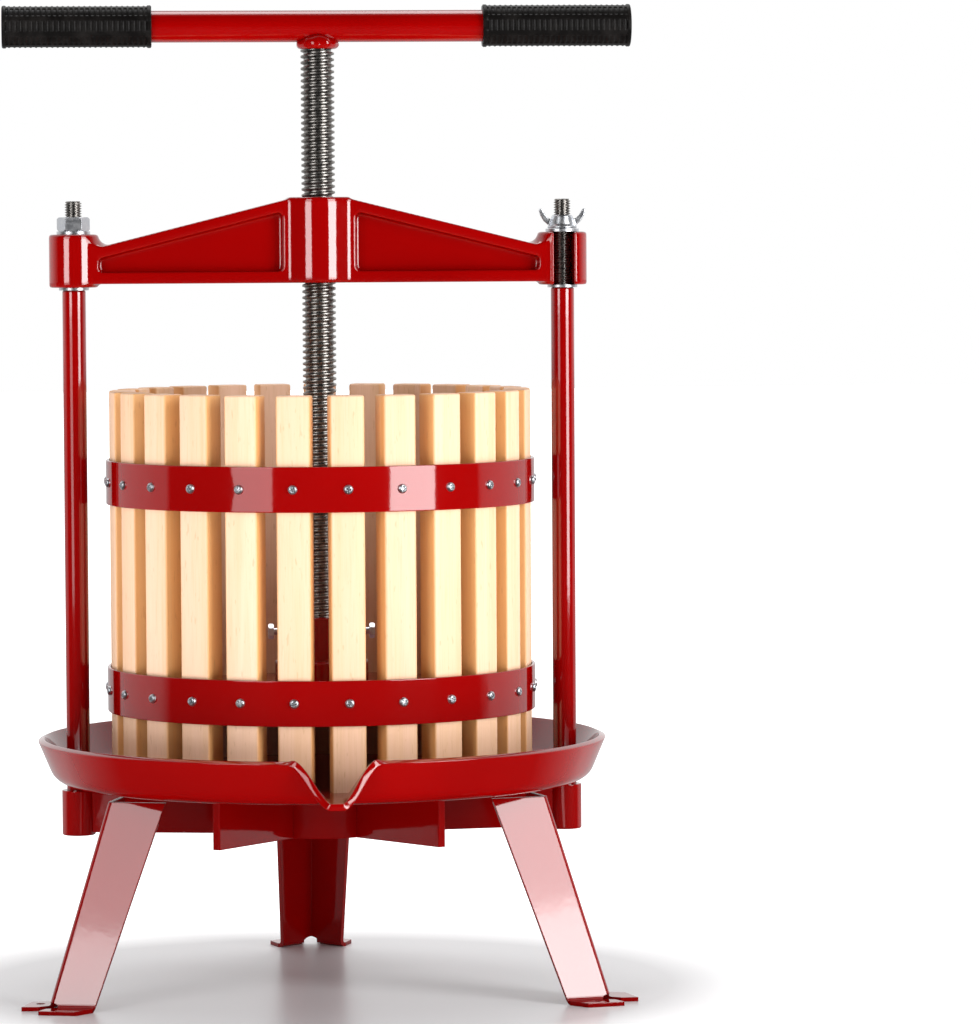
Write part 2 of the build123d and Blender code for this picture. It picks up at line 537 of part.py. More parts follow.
def build_all():
    """Every node of the press by name."""
    parts = {"tray": make_tray()}
    parts.update(make_base())
    for name, plan_angle in LEG_PLAN_ANGLES.items():
        parts[name] = make_leg(plan_angle)
    parts.update(make_uprights())
    parts["crossbeam"] = make_crossbeam()
    parts.update(make_fasteners())
    parts["main_screw"] = make_screw()
    parts.update(make_handle())
    parts["press_plate"] = make_press_plate()
    parts["plate_bolts"] = make_plate_bolts()
    for name, level in HOOP_LEVELS.items():
        parts["hoop_" + name] = make_hoop(level)
        parts["hoop_screws_" + name] = make_hoop_screws(level)
    for index, turn in enumerate(slat_places()):
        parts["slat_%02d" % (index + 1)] = make_slat(turn)
    return parts


os.makedirs("parts", exist_ok=True)
for node, shape in build_all().items():
    export_step(shape, "parts/" + node + ".step")
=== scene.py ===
"""Basket wine press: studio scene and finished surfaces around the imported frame.

Metres, +Z up, with the pouring spout toward -Y. Meshes are worked in millimetres and scaled as they
are registered.
"""
import json
import math
import random

import bmesh
import bpy
from mathutils import Matrix, Vector


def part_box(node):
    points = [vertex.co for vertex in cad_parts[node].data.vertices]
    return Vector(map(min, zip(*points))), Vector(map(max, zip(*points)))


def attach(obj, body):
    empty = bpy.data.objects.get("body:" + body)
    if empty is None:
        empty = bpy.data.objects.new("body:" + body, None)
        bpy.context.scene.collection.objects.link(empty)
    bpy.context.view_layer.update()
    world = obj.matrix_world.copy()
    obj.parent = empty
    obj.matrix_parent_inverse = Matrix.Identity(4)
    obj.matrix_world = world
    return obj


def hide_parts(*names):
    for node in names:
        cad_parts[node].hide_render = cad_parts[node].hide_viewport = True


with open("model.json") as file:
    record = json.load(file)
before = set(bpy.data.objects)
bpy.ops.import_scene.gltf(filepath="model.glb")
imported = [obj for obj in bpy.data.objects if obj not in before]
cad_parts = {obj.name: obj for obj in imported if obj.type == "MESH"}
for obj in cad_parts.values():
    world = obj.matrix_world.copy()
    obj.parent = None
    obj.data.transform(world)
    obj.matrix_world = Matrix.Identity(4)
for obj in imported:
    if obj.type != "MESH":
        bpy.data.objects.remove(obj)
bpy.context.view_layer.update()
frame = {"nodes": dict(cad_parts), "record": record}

MM = 0.001
PER_METRE = 1000.0
SEED = 7


# ---- helpers: shader nodes -----------------------------------------------------------------
def new_material(name):
    """A material with only a Principled shader, and the tree that holds it."""
    material = bpy.data.materials.new(name)
    material.use_nodes = True
    return material, material.node_tree, material.node_tree.nodes["Principled BSDF"]


def add(tree, kind, inputs=None, **settings):
    """A shader node. inputs maps socket names or numbers to a value or to another node's output."""
    node = tree.nodes.new(kind)
    for key, value in settings.items():
        setattr(node, key, value)
    for key, value in (inputs or {}).items():
        socket = node.inputs[key]
        if isinstance(value, bpy.types.NodeSocket):
            tree.links.new(value, socket)
        else:
            socket.default_value = value
    return node


def object_coords(tree, scale=(1, 1, 1)):
    """The row frame's coordinates in metres, stretched by scale."""
    coords = add(tree, "ShaderNodeTexCoord")
    return add(tree, "ShaderNodeMapping", {"Vector": coords.outputs["Object"], "Scale": scale}).outputs[0]


def noise(tree, vector, scale, detail=3.0, roughness=0.5, distortion=0.0):
    """Fractal noise from 0 to 1."""
    node = add(tree, "ShaderNodeTexNoise", {"Vector": vector, "Scale": scale, "Detail": detail,
                                            "Roughness": roughness, "Distortion": distortion})
    return node.outputs["Fac"]


def remap(tree, value, low, high, to_low=0.0, to_high=1.0):
    """value moved from low..high to to_low..to_high, clamped."""
    node = add(tree, "ShaderNodeMapRange", {"Value": value, "From Min": low, "From Max": high,
                                            "To Min": to_low, "To Max": to_high})
    return node.outputs["Result"]


def mix_colour(tree, factor, first, second):
    """Two colours mixed by factor. Sockets 6 and 7 are the colour mix's own."""
    node = add(tree, "ShaderNodeMix", data_type="RGBA", blend_type="MIX")
    for number, value in ((0, factor), (6, first), (7, second)):
        if isinstance(value, bpy.types.NodeSocket):
            tree.links.new(value, node.inputs[number])
        else:
            node.inputs[number].default_value = value
    return node.outputs[2]


def mix_value(tree, factor, first, second):
    """Two numbers mixed by factor."""
    return add(tree, "ShaderNodeMix", {0: factor, 2: first, 3: second}, data_type="FLOAT").outputs[0]


def math_node(tree, operation, first, second):
    """One arithmetic step."""
    return add(tree, "ShaderNodeMath", {0: first, 1: second}, operation=operation).outputs[0]


def bump(tree, height, distance, normal=None):
    """A bump of the given depth in metres, on top of another normal if there is one."""
    inputs = {"Height": height, "Distance": distance, "Strength": 1.0}
    if normal is not None:
        inputs["Normal"] = normal
    return add(tree, "ShaderNodeBump", inputs).outputs["Normal"]


def colour(red, green, blue):
    """An opaque colour."""
    return (red, green, blue, 1.0)


def diffuse_bsdf(tree, shade):
    """A plain matt shader."""
    return add(tree, "ShaderNodeBsdfDiffuse", {"Color": shade}).outputs[0]


# ---- materials -----------------------------------------------------------------------------
# Noise scales are per metre. Bump depths and edge radii are in metres.
BEVEL_SAMPLES = 6
ENAMEL_DEEP = colour(0.200, 0.0002, 0.0002)
ENAMEL_BRIGHT = colour(0.232, 0.0003, 0.0003)
ENAMEL_SPECK = colour(0.14, 0.0005, 0.0005)
ENAMEL_COAT_IOR = 1.7
ENAMEL_COAT_ROUGHNESS = 0.06
BEECH_FACE = (colour(0.71, 0.450, 0.305), colour(0.81, 0.535, 0.376))
# Painted shade: the slats' side faces take this darker, warmer colour, as they look in shadow.
BEECH_SIDE_SHADE = (colour(0.60, 0.275, 0.090), colour(0.72, 0.360, 0.130))
BEECH_RING = colour(0.68, 0.42, 0.20)
BEECH_BAND = colour(0.62, 0.36, 0.17)
BEECH_FIBRE = colour(0.50, 0.27, 0.12)
BEECH_FLECK = colour(0.42, 0.20, 0.08)
GRAIN_STRETCH = 0.030        # noise scale along the grain against across it
FLECK_STRETCH = 0.20
RUBBER_BLACK = colour(0.0040, 0.0034, 0.0032)
RUBBER_DUST = colour(0.0095, 0.0080, 0.0074)


def rounded_normal(tree, radius):
    """The surface normal with sharp edges softened over a radius in metres."""
    return add(tree, "ShaderNodeBevel", {"Radius": radius}, samples=BEVEL_SAMPLES).outputs[0]


def enamel(name, lumps, edge):
    """Glossy red enamel. lumps is the depth of the metal's waviness, edge the softened edge radius."""
    material, tree, shader = new_material(name)
    place = object_coords(tree)
    broad = noise(tree, place, 11.0, 2.0)
    shade = mix_colour(tree, remap(tree, broad, 0.3, 0.7), ENAMEL_DEEP, ENAMEL_BRIGHT)
    specks = remap(tree, noise(tree, place, 950.0, 2.0), 0.72, 0.80)
    shade = mix_colour(tree, math_node(tree, "MULTIPLY", specks, 0.4), shade, ENAMEL_SPECK)
    tree.links.new(shade, shader.inputs["Base Color"])
    gloss = remap(tree, noise(tree, place, 55.0, 4.0), 0.3, 0.7, 0.24, 0.34)
    tree.links.new(gloss, shader.inputs["Roughness"])
    shader.inputs["Specular IOR Level"].default_value = 0.0
    shader.inputs["Coat Weight"].default_value = 1.0
    shader.inputs["Coat Roughness"].default_value = ENAMEL_COAT_ROUGHNESS
    shader.inputs["Coat IOR"].default_value = ENAMEL_COAT_IOR
    soft = rounded_normal(tree, edge)
    peel = bump(tree, noise(tree, place, 380.0, 2.0), 0.000008, soft)
    wavy = bump(tree, noise(tree, place, 70.0, 2.0), lumps, peel)
    tree.links.new(wavy, shader.inputs["Normal"])
    tree.links.new(wavy, shader.inputs["Coat Normal"])
    return material


def beech(name):
    """Sanded beech with its grain along Z, ray flecks, side faces painted darker and warmer as shade, and a
    tone for each slat.
    """
    material, tree, shader = new_material(name)
    place = object_coords(tree)
    tone = add(tree, "ShaderNodeAttribute", attribute_name="tone").outputs["Fac"]
    along = object_coords(tree, (1, 1, GRAIN_STRETCH))
    shift = add(tree, "ShaderNodeCombineXYZ", {"X": tone, "Y": tone, "Z": tone}).outputs[0]
    grain_place = add(tree, "ShaderNodeVectorMath", {0: along, 1: shift}, operation="ADD").outputs[0]
    fibres = noise(tree, grain_place, 1100.0, 4.0, 0.65)
    bands = noise(tree, grain_place, 150.0, 3.0, 0.5, 0.6)
    rings = noise(tree, grain_place, 45.0, 2.0, 0.5, 0.8)
    pale = mix_colour(tree, tone, *BEECH_FACE)
    # Mask of the side faces, which take the darker colour below as painted shade.
    edges = add(tree, "ShaderNodeAttribute", attribute_name="side_shade").outputs["Fac"]
    painted_side_shade = mix_colour(tree, tone, *BEECH_SIDE_SHADE)
    pale = mix_colour(tree, edges, pale, painted_side_shade)
    shade = mix_colour(tree, remap(tree, rings, 0.40, 0.66, 0.0, 0.35), pale, BEECH_RING)
    shade = mix_colour(tree, remap(tree, bands, 0.45, 0.72, 0.0, 0.35), shade, BEECH_BAND)
    shade = mix_colour(tree, remap(tree, fibres, 0.50, 0.78, 0.0, 0.30), shade, BEECH_FIBRE)
    fleck_place = object_coords(tree, (1, 1, FLECK_STRETCH))
    flecks = remap(tree, noise(tree, fleck_place, 620.0, 1.0), 0.67, 0.75, 0.0, 0.30)
    shade = mix_colour(tree, flecks, shade, BEECH_FLECK)
    tree.links.new(shade, shader.inputs["Base Color"])
    tree.links.new(remap(tree, fibres, 0.3, 0.7, 0.42, 0.60), shader.inputs["Roughness"])
    shader.inputs["Specular IOR Level"].default_value = 0.30
    pores = math_node(tree, "ADD", fibres, math_node(tree, "MULTIPLY", flecks, -0.6))
    fuzz = bump(tree, noise(tree, place, 2500.0, 2.0), 0.000008)
    tree.links.new(bump(tree, pores, 0.00007, fuzz), shader.inputs["Normal"])
    return material


def metal(name, low, high, roughness, scale, depth, edge):
    """Bare or plated metal, mottled and faintly brushed round its axis, with a fine surface bump.

    edge is the softened edge radius, or 0 where the mesh has its own rounding.
    """
    material, tree, shader = new_material(name)
    place = object_coords(tree)
    mottling = noise(tree, place, scale, 4.0)
    brushed = noise(tree, object_coords(tree, (1, 1, 12)), scale, 2.0)
    shade = mix_colour(tree, remap(tree, mottling, 0.3, 0.7), low, high)
    shade = mix_colour(tree, remap(tree, brushed, 0.35, 0.75, 0.0, 0.35), shade, low)
    tree.links.new(shade, shader.inputs["Base Color"])
    shader.inputs["Metallic"].default_value = 1.0
    gloss = remap(tree, mottling, 0.3, 0.7, roughness * 0.8, roughness * 1.25)
    tree.links.new(gloss, shader.inputs["Roughness"])
    soft = rounded_normal(tree, edge) if edge else None
    tree.links.new(bump(tree, noise(tree, place, scale * 3, 3.0), depth, soft), shader.inputs["Normal"])
    return material


def rubber(name):
    """Black moulded rubber, slightly dusty in patches."""
    material, tree, shader = new_material(name)
    place = object_coords(tree)
    dust = noise(tree, place, 120.0, 5.0, 0.6)
    shade = mix_colour(tree, remap(tree, dust, 0.45, 0.75), RUBBER_BLACK, RUBBER_DUST)
    shader.inputs["Specular IOR Level"].default_value = 0.10
    tree.links.new(shade, shader.inputs["Base Color"])
    tree.links.new(remap(tree, dust, 0.3, 0.7, 0.30, 0.44), shader.inputs["Roughness"])
    tree.links.new(bump(tree, noise(tree, place, 1500.0, 3.0), 0.00002), shader.inputs["Normal"])
    return material


RED_CAST = enamel("red_enamel_cast", lumps=0.00010, edge=0.0009)
RED_SHEET = enamel("red_enamel_sheet", lumps=0.00003, edge=0.0006)
BEECH = beech("beech")
SCREW_STEEL = metal("screw_steel", colour(0.20, 0.188, 0.176), colour(0.36, 0.342, 0.322),
                    roughness=0.30, scale=380.0, depth=0.000002, edge=0)
ZINC = metal("zinc", colour(0.56, 0.58, 0.62), colour(0.76, 0.77, 0.79),
             roughness=0.34, scale=300.0, depth=0.000002, edge=0.00025)
RUBBER = rubber("grip_rubber")

CAST_NODES = ("press_plate", "base_ring", "base_bar_left", "base_bar_right", "base_rib_left",
              "base_rib_right", "rod_socket_left", "rod_socket_right")


def finish_cad_nodes():
    """Gives every shown CAD node its finished material."""
    slots = {part["node"]: part["material_slot"] for part in frame["record"]["subparts"]}
    by_slot = {"red_enamel": RED_SHEET, "beech": BEECH, "screw_steel": SCREW_STEEL, "zinc": ZINC,
               "grip_rubber": RUBBER}
    for name, obj in frame["nodes"].items():
        finish = RED_CAST if name in CAST_NODES else by_slot[slots[name]]
        obj.data.materials.clear()
        obj.data.materials.append(finish)


# ---- helpers: meshes, worked in millimetres --------------------------------------------------
WELD_DISTANCE = 0.001        # closer vertices than this are one
CUT_TOLERANCE = 1e-4         # how near a cut plane a vertex counts as on it


def box_mm(node):
    """Lowest and highest corner of a node at rest, in millimetres."""
    low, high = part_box(node)
    return Vector(low) * PER_METRE, Vector(high) * PER_METRE


def register(name, mesh, body, material, replaces=()):
    """Turns a mesh in millimetres into a named piece that rides on a body."""
    mesh.transform(Matrix.Scale(MM, 4))
    for polygon in mesh.polygons:
        polygon.use_smooth = True
    piece = bpy.data.objects.new(name, mesh)
    bpy.context.scene.collection.objects.link(piece)
    mesh.materials.clear()
    mesh.materials.append(material)
    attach(piece, body)
    if replaces:
        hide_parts(*replaces)
    return piece


def to_mesh(name, work):
    """A mesh datablock from a bmesh, with its normals pointing out."""
    bmesh.ops.recalc_face_normals(work, faces=work.faces)
    mesh = bpy.data.meshes.new(name)
    work.to_mesh(mesh)
    work.free()
    return mesh


def mark_sharp(mesh, degrees):
    """Keeps edges sharper than the angle crisp under smooth shading."""
    work = bmesh.new()
    work.from_mesh(mesh)
    limit = math.radians(degrees)
    for edge in work.edges:
        if len(edge.link_faces) == 2 and edge.calc_face_angle(0.0) > limit:
            edge.smooth = False
    work.to_mesh(mesh)
    work.free()


def add_skin(work, stations, segments, place):
    """A closed skin of rings: place(station, angle) gives a point, and both ends are capped."""
    rings = []
    for station in stations:
        ring = [work.verts.new(place(station, math.tau * step / segments)) for step in range(segments)]
        rings.append(ring)
    for lower, upper in zip(rings, rings[1:]):
        for step in range(segments):
            right = (step + 1) % segments
            work.faces.new((lower[step], lower[right], upper[right], upper[step]))
    work.faces.new(list(reversed(rings[0])))
    work.faces.new(rings[-1])


def add_lathe(work, profile, segments, centre=(0.0, 0.0)):
    """A closed solid turned from (radius, height) points about an upright axis."""
    def place(point, angle):
        radius, height = point
        return (centre[0] + radius * math.cos(angle), centre[1] + radius * math.sin(angle), height)
    add_skin(work, profile, segments, place)


def smoothstep(low, high, value):
    """0 below low, 1 above high, and a smooth rise between."""
    t = min(1.0, max(0.0, (value - low) / (high - low)))
    return t * t * (3 - 2 * t)


def run_modifiers(mesh, modifiers):
    """The mesh after a list of (type, settings) modifiers."""
    carrier = bpy.data.objects.new("carrier", mesh)
    bpy.context.scene.collection.objects.link(carrier)
    for kind, settings in modifiers:
        modifier = carrier.modifiers.new(kind.lower(), kind)
        for key, value in settings.items():
            setattr(modifier, key, value)
    depsgraph = bpy.context.evaluated_depsgraph_get()
    result = bpy.data.meshes.new_from_object(carrier.evaluated_get(depsgraph))
    bpy.data.objects.remove(carrier)
    return result


def cad_copy_mm(node):
    """A copy of a CAD node's mesh, in millimetres."""
    mesh = frame["nodes"][node].data.copy()
    mesh.transform(Matrix.Scale(PER_METRE, 4))
    work = bmesh.new()
    work.from_mesh(mesh)
    bmesh.ops.remove_doubles(work, verts=work.verts, dist=WELD_DISTANCE)
    work.to_mesh(mesh)
    work.free()
    return mesh


# ---- threads ---------------------------------------------------------------------------------
THREAD_FLANK = 0.75          # how steep the flanks are: the smaller, the steeper


def add_thread(work, major, minor, lead, bottom, top, segments, steps, centre=(0.0, 0.0), lead_in=0.0):
    """A right-hand thread with flat ends, as a closed skin. lead_in tapers the crests at the top end.

    The skin starts and stops past both ends, and is cut off there and capped.
    """
    rows = (int((top - bottom) / lead) + 3) * steps
    columns = []
    for column in range(segments):
        turn = column / segments
        line = []
        for row in range(rows + 1):
            height = bottom + lead * (row / steps + turn - 1.5)
            crest = smoothstep(-THREAD_FLANK, THREAD_FLANK, math.cos(math.tau * row / steps))
            radius = minor + (major - minor) * crest
            if lead_in:
                radius = min(radius, minor + max(0.0, top - height) * (major - minor) / lead_in)
            angle = math.tau * turn
            line.append(work.verts.new((centre[0] + radius * math.cos(angle),
                                        centre[1] + radius * math.sin(angle), height)))
        columns.append(line)
    for column in range(segments):
        here = columns[column]
        after = columns[(column + 1) % segments]
        climb = steps if column == segments - 1 else 0
        for row in range(rows - climb):
            work.faces.new((here[row], after[row + climb], after[row + climb + 1], here[row + 1]))
    for height, upward in ((bottom, -1), (top, 1)):
        geometry = list(work.verts) + list(work.edges) + list(work.faces)
        bmesh.ops.bisect_plane(work, geom=geometry, plane_co=(0, 0, height), plane_no=(0, 0, upward),
                               clear_outer=True)
        rim = [edge for edge in work.edges if edge.is_boundary
               and all(abs(vertex.co.z - height) < CUT_TOLERANCE for vertex in edge.verts)]
        bmesh.ops.contextual_create(work, geom=rim)


SCREW_LEAD = 3.6
SCREW_MINOR = 8.3
JOURNAL_TOP = 223.5
JOURNAL_RADIUS = 8.0
JOURNAL_CHAMFER = 0.6
GROOVE_RADIUS = 6.0
GROOVE_AT = 213.9
GROOVE_HALF = 2.4
STUB_BOTTOM = 562.5
UPRIGHT_CHAMFER = 0.8
STUD_LEAD = 1.5
STUD_MAJOR = 5.0
STUD_MINOR = 4.1
STUD_LEAD_IN = 0.9


def make_main_screw():
    """The press screw: journal with its groove, the long thread, and the stub inside the handle."""
    low, high = box_mm("main_screw")
    work = bmesh.new()
    add_thread(work, high.x, SCREW_MINOR, SCREW_LEAD, JOURNAL_TOP, STUB_BOTTOM, 64, 12)
    add_lathe(work, [(JOURNAL_RADIUS - JOURNAL_CHAMFER, low.z),
                     (JOURNAL_RADIUS, low.z + JOURNAL_CHAMFER),
                     (JOURNAL_RADIUS, GROOVE_AT - GROOVE_HALF),
                     (GROOVE_RADIUS, GROOVE_AT - GROOVE_HALF),
                     (GROOVE_RADIUS, GROOVE_AT + GROOVE_HALF),
                     (JOURNAL_RADIUS, GROOVE_AT + GROOVE_HALF),
                     (JOURNAL_RADIUS, JOURNAL_TOP)], 48)
    add_lathe(work, [(JOURNAL_RADIUS, STUB_BOTTOM), (JOURNAL_RADIUS, high.z)], 48)
    mesh = to_mesh("main_screw_thread", work)
    mark_sharp(mesh, 40)
    register("main_screw_thread", mesh, "screw", SCREW_STEEL, ["main_screw"])


def make_uprights():
    """Red uprights with bare threaded stud ends."""
    shoulder = box_mm("shoulder_washers")[0].z
    for side in ("left", "right"):
        node = "upright_" + side
        low, high = box_mm(node)
        centre = ((low.x + high.x) / 2, 0.0)
        radius = (high.x - low.x) / 2
        work = bmesh.new()
        add_lathe(work, [(radius - UPRIGHT_CHAMFER, low.z), (radius, low.z + UPRIGHT_CHAMFER),
                         (radius, shoulder - UPRIGHT_CHAMFER),
                         (radius - UPRIGHT_CHAMFER, shoulder)], 64, centre)
        mesh = to_mesh(node + "_shaft", work)
        mark_sharp(mesh, 30)
        register(node + "_shaft", mesh, "stand", RED_SHEET, [node])
        work = bmesh.new()
        add_thread(work, STUD_MAJOR, STUD_MINOR, STUD_LEAD, shoulder, high.z, 40, 10, centre, STUD_LEAD_IN)
        mesh = to_mesh(node + "_stud", work)
        mark_sharp(mesh, 50)
        register(node + "_stud", mesh, "stand", SCREW_STEEL)


# ---- handle ----------------------------------------------------------------------------------
RIBS = 26                    # rings of ribs along each grip
RIB_STEPS = 8                # stations along one rib and its groove
RIB_FLAT = 0.12              # half widths of a rib's top and of its foot, in pitches
RIB_FOOT = 0.27
PANELS = 8                   # ribbed panels round each grip
PANEL_STEPS = 20             # faces across one panel
BAND_FLAT = 0.15             # half widths of a band's top and of its foot, in panels
BAND_FOOT = 0.22
GRIP_RIM = 2.8               # length of the smooth rim at each end
GRIP_GROOVE = 0.80           # depth of the grooves below the rims
RIB_HEIGHT = 0.5
RIM_ROUND = 0.5
# Rounding of a grip's outer end: distance from the end, and drop below the outer radius.
GRIP_END = ((0.9, 0.0), (0.25, 0.35), (0.0, 1.2))
END_FACE_RING = 6.0          # radius of a ring of vertices in the flat end face
# Weld bead: radius, share of the collar's height, and how much higher it climbs in front and behind.
WELD_RINGS = ((9.4, 0.02, 0.0), (11.3, 0.05, 0.0), (12.8, 0.28, 0.0), (12.7, 0.52, 0.06),
              (11.4, 0.70, 0.16), (9.8, 0.80, 0.24), (8.1, 0.86, 0.32))


def make_grips():
    """Moulded grips: raised end rims, and ribbed panels divided by smooth lengthwise bands."""
    for side, sign in (("left", -1), ("right", 1)):
        low, high = box_mm("grip_" + side)
        middle = (low.z + high.z) / 2
        outer = (high.z - low.z) / 2
        inner_end = min(abs(low.x), abs(high.x))
        outer_end = max(abs(low.x), abs(high.x))
        base = outer - GRIP_GROOVE
        pitch = (outer_end - inner_end - 2 * GRIP_RIM) / RIBS
        stations = [(inner_end, base, 0), (inner_end + RIM_ROUND, outer, 0),
                    (inner_end + GRIP_RIM - RIM_ROUND, outer, 0)]
        for index in range(RIBS * RIB_STEPS + 1):
            phase = (index / RIB_STEPS) % 1.0
            rib = 1.0 - smoothstep(RIB_FLAT, RIB_FOOT, abs(phase - 0.5))
            stations.append((inner_end + GRIP_RIM + index * pitch / RIB_STEPS, base, rib))
        stations.append((outer_end - GRIP_RIM + RIM_ROUND, outer, 0))
        stations += [(outer_end - back, outer - drop, 0) for back, drop in GRIP_END]
        stations.append((outer_end, END_FACE_RING, 0))

        def place(station, angle):
            x, radius, rib = station
            if radius == base:
                across = (angle * PANELS / math.tau + 0.5) % 1.0
                band = 1.0 - smoothstep(BAND_FLAT, BAND_FOOT, min(across, 1.0 - across))
                radius += RIB_HEIGHT * max(rib, band)
            return (sign * x, radius * math.cos(angle), middle + radius * math.sin(angle))

        work = bmesh.new()
        add_skin(work, stations, PANELS * PANEL_STEPS, place)
        mesh = to_mesh("rubber_grip_" + side, work)
        mark_sharp(mesh, 55)
        register("rubber_grip_" + side, mesh, "screw", RUBBER, ["grip_" + side])


def make_handle_weld():
    """The enamelled weld bead that joins the screw to the underside of the handle tube."""
    low, high = box_mm("handle_collar")
    span = high.z - low.z

    def place(ring, angle):
        radius, up, climb = ring
        ripple = 0.35 * math.sin(7 * angle + 5 * up) + 0.25 * math.sin(11 * angle + 1.3)
        radius += ripple * (1.0 if 0.1 < up < 0.75 else 0.2)
        front = math.sin(angle) ** 2
        return (radius * math.cos(angle), radius * math.sin(angle), low.z + span * (up + climb * front))

    work = bmesh.new()
    add_skin(work, WELD_RINGS, 56, place)
    mesh = run_modifiers(to_mesh("handle_weld", work), [("SUBSURF", {"levels": 1})])
    register("handle_weld", mesh, "screw", RED_CAST, ["handle_collar"])


# ---- cast crossbeam and wing nut -------------------------------------------------------------
CASTING_VOXEL = 0.85
NUT_VOXEL = 0.28
# Hub of the wing nut: share of the wings' reach, and height above its foot.
HUB_PROFILE = ((0.62, 0.15), (0.64, 1.2), (0.56, 2.6), (0.45, 7.6), (0.42, 8.2))
# One wing: distance from the stud's axis, and height above the nut's foot.
WING_OUTLINE = ((4.0, 1.2), (8.4, 2.2), (11.2, 4.6), (13.2, 8.0), (14.05, 11.0), (13.7, 12.1),
                (12.9, 12.2), (11.9, 11.2), (10.4, 8.6), (8.6, 6.6), (6.4, 5.6), (4.0, 5.4))
WING_HALF = 1.25             # half thickness of a wing


def make_crossbeam():
    """The casting, with every edge and inside corner softened as sand casting leaves them."""
    mesh = run_modifiers(cad_copy_mm("crossbeam"), [
        ("REMESH", {"mode": "VOXEL", "voxel_size": CASTING_VOXEL}),
        ("SMOOTH", {"factor": 0.5, "iterations": 9})])
    register("cast_crossbeam", mesh, "stand", RED_CAST, ["crossbeam"])


def make_wing_nut():
    """The wing nut: a conical hub with two thin upswept wings, plated."""
    low, high = box_mm("wing_nut")
    centre = ((low.x + high.x) / 2, 0.0)
    reach = (high.x - low.x) / 2
    work = bmesh.new()
    add_lathe(work, [(reach * share, low.z + up) for share, up in HUB_PROFILE], 48, centre)
    count = len(WING_OUTLINE)
    for sign in (-1, 1):
        sides = []
        for y in (-WING_HALF, WING_HALF):
            sides.append([work.verts.new((centre[0] + sign * x, y, low.z + z)) for x, z in WING_OUTLINE])
        work.faces.new(sides[0])
        work.faces.new(list(reversed(sides[1])))
        for index in range(count):
            after = (index + 1) % count
            work.faces.new((sides[0][index], sides[0][after], sides[1][after], sides[1][index]))
    mesh = run_modifiers(to_mesh("plated_wing_nut", work), [
        ("REMESH", {"mode": "VOXEL", "voxel_size": NUT_VOXEL}),
        ("SMOOTH", {"factor": 0.5, "iterations": 5})])
    register("plated_wing_nut", mesh, "wing_nut_body", ZINC, ["wing_nut"])


# ---- juice tray ------------------------------------------------------------------------------
# Known fault: the surface drawn here was meant as the tray's inside, but the sheet's thickness goes up and
# inward from it. So the built tray spans 125.0 to 152.2 mm in height, where the CAD tray spans 120.0 to 150.5:
# it stands 5 mm clear of the base frame, and the slats' feet and the lowered plate reach into its floor.
FLOOR_TOP = 125.0            # height of the drawn floor, and of the top of the CAD tray's floor
RIM_TOP = 150.3
WALL_FOOT = 160.1            # drawn radius where floor and wall lines would meet
WALL_SLOPE = 2.383
CORNER_ROUND = 12.0
RIM_RADIUS = 170.6           # drawn radius at the rim
LIP_REACH = 186.6            # drawn reach of the pouring lip
TROUGH_FLAT = 4.0            # half width of the flat bottom of the trough's main fall
TROUGH_TOP = 27.0            # half width where the main fall starts
TROUGH_SHOULDER = 42.0       # half width where the rim first starts to dip
SHOULDER_SHARE = 0.13        # part of the fall that is spread over the shoulders
TROUGH_BLEND = 2.2           # height over which the trough's bottom runs into the bowl
NEVER_ZERO = 0.001
LIP_POINT = 1.4              # the larger, the more pointed the lip is in plan
LIP_HALF_ANGLE = 0.26        # radians either side of the front that hold the whole spout
LIP_STEPS = 96               # faces across the spout, and round the rest
REST_STEPS = 220
TRAY_SHEET = 4.0
TRAY_EDGE = 1.9              # rounding of the sheet's edge
INNER_RING = 138.0           # radius inside which the floor is one fan of faces
# How far each ring of faces is from INNER_RING to the rim: coarse on the floor, fine up the wall.
FLOOR_SHARES = [0.0, 0.12, 0.24, 0.34]
WALL_STEPS = 22
RING_SHARES = FLOOR_SHARES + [0.34 + 0.66 * index / WALL_STEPS for index in range(1, WALL_STEPS + 1)]


def wall_height(radius):
    """Height of the bowl's drawn surface at a radius."""
    turn = math.atan(WALL_SLOPE)
    tangent = CORNER_ROUND * math.tan(turn / 2)
    start = WALL_FOOT - tangent
    end = WALL_FOOT + tangent * math.cos(turn)
    if radius <= start:
        return FLOOR_TOP
    if radius < end:
        return FLOOR_TOP + CORNER_ROUND - math.sqrt(CORNER_ROUND ** 2 - (radius - start) ** 2)
    return FLOOR_TOP + WALL_SLOPE * (radius - WALL_FOOT)


def trough_height(x):
    """Height of the spout's trough across its width."""
    fall = smoothstep(TROUGH_FLAT, TROUGH_TOP, abs(x))
    shoulder = smoothstep(0.0, TROUGH_SHOULDER, abs(x))
    share = fall + SHOULDER_SHARE * (shoulder - fall)
    return FLOOR_TOP + (RIM_TOP - FLOOR_TOP) * share


def rim_reach(angle):
    """Plan radius of the rim: a circle, drawn out to the pouring lip in front."""
    reach = RIM_RADIUS
    if math.sin(angle) > -0.5:
        return reach
    for _ in range(6):
        open_share = 1.0 - (trough_height(reach * math.cos(angle)) - FLOOR_TOP) / (RIM_TOP - FLOOR_TOP)
        reach = RIM_RADIUS + (LIP_REACH - RIM_RADIUS) * open_share ** LIP_POINT
    return reach


def tray_angles():
    """Angles round the tray, closer together across the spout."""
    front = -math.pi / 2
    spout = 2 * LIP_HALF_ANGLE
    fine = [front - LIP_HALF_ANGLE + spout * index / LIP_STEPS for index in range(LIP_STEPS + 1)]
    rest = math.tau - spout
    coarse = [front + LIP_HALF_ANGLE + rest * index / REST_STEPS for index in range(1, REST_STEPS)]
    return fine + coarse


